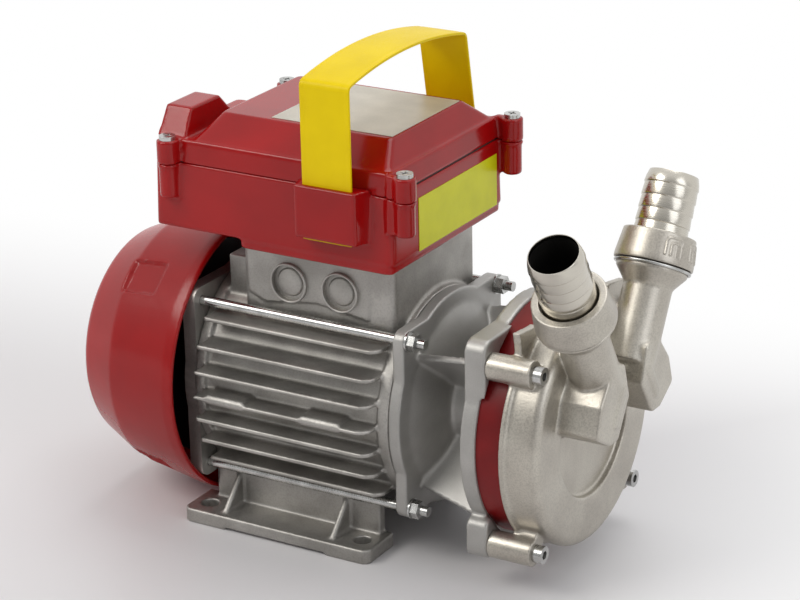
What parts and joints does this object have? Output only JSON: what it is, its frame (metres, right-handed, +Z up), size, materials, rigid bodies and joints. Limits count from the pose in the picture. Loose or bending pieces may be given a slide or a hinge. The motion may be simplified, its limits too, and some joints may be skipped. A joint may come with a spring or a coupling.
{
  "type": "electric oil transfer pump",
  "caption": "Foot-mounted electric motor with a terminal box and carrying strap on top, close coupled to a self-priming pump head with two hose tails in a V.",
  "frame": {"origin": "centre of the four foot holes on the sole of the foot, straight below the shaft", "axes": "+X along the shaft towards the pump head, +Z up"},
  "size_m": [0.292, 0.1462, 0.2483],
  "materials": {
    "cast_aluminium": "fine matt die casting",
    "nickel_casting": "satin nickel plate over a cast skin",
    "nickel_polished": "turned and bright nickel plated",
    "zinc_steel": "bright zinc plate",
    "red_cover": "moulded, glossy",
    "red_box": "moulded, glossy",
    "red_plate": "smooth deep red paint",
    "yellow_strap": "flexible moulded band",
    "silver_label": "silver film",
    "yellow_label": "yellow film",
    "black_plastic": "moulded, fine grain",
    "black_rubber": "moulded rubber",
    "shaft_steel": "ground",
    "core_steel": "stacked laminations",
    "copper_winding": "varnished enamelled wire",
    "bearing_steel": "ground and hardened",
    "brass_part": "machined",
    "ceramic": "lapped ceramic",
    "grey_plastic": "moulded"
  },
  "bodies": {
    "frame": {"motor_housing": "cast_aluminium", "rear_end_shield": "cast_aluminium", "front_adapter": "cast_aluminium", "fan_cover": "red_cover", "tie_rods": "zinc_steel", "tie_rod_nuts": "zinc_steel", "tie_rod_washers": "zinc_steel", "stator_core": "core_steel", "stator_windings": "copper_winding", "front_bearing_outer": "bearing_steel", "rear_bearing_outer": "bearing_steel", "preload_washer": "zinc_steel", "terminal_box_base": "red_box", "terminal_box_lid": "red_box", "lid_gasket": "black_rubber", "lid_screws": "zinc_steel", "box_screws": "zinc_steel", "capacitor": "grey_plastic", "terminal_block": "black_plastic", "switch_frame": "black_plastic", "cable_gland": "black_plastic", "gland_locknut": "black_plastic", "rating_label": "silver_label", "side_label": "yellow_label", "carrying_strap": "yellow_strap", "seal_plate": "red_plate", "pump_body": "nickel_casting", "pump_screws": "zinc_steel", "near_hose_tail": "nickel_polished", "far_hose_tail": "nickel_polished", "near_nut_clip": "zinc_steel", "far_nut_clip": "zinc_steel", "near_port_gasket": "black_rubber", "far_port_gasket": "black_rubber", "seal_seat": "ceramic", "casing_o_ring": "black_rubber"},
    "rotor": {"motor_shaft": "shaft_steel", "rotor_core": "core_steel", "front_bearing_inner": "bearing_steel", "rear_bearing_inner": "bearing_steel", "cooling_fan": "black_plastic", "impeller": "brass_part", "impeller_key": "shaft_steel", "seal_head": "shaft_steel", "seal_bellows": "black_rubber", "slinger": "black_rubber"},
    "rocker": {"switch_rocker": "black_plastic"},
    "near_nut": {"near_ring_nut": "nickel_casting"},
    "far_nut": {"far_ring_nut": "nickel_casting"}
  },
  "joints": [
    {"name": "rotor_spin", "type": "hinge", "parent": "frame", "child": "rotor", "pos_m": [0, 0, 0.0725], "axis": [1, 0, 0], "continuous": true},
    {"name": "switch_rock", "type": "hinge", "parent": "frame", "child": "rocker", "pos_m": [-0.0616, -0.017, 0.1765], "axis": [0, 0, 1], "range_deg": [-12, 12]},
    {"name": "near_nut_turn", "type": "hinge", "parent": "frame", "child": "near_nut", "pos_m": [0.1585, 0, 0.0725], "axis": [0, -0.5, 0.866], "continuous": true},
    {"name": "far_nut_turn", "type": "hinge", "parent": "frame", "child": "far_nut", "pos_m": [0.1585, 0, 0.0725], "axis": [0, 0.5, 0.866], "continuous": true}
  ]
}
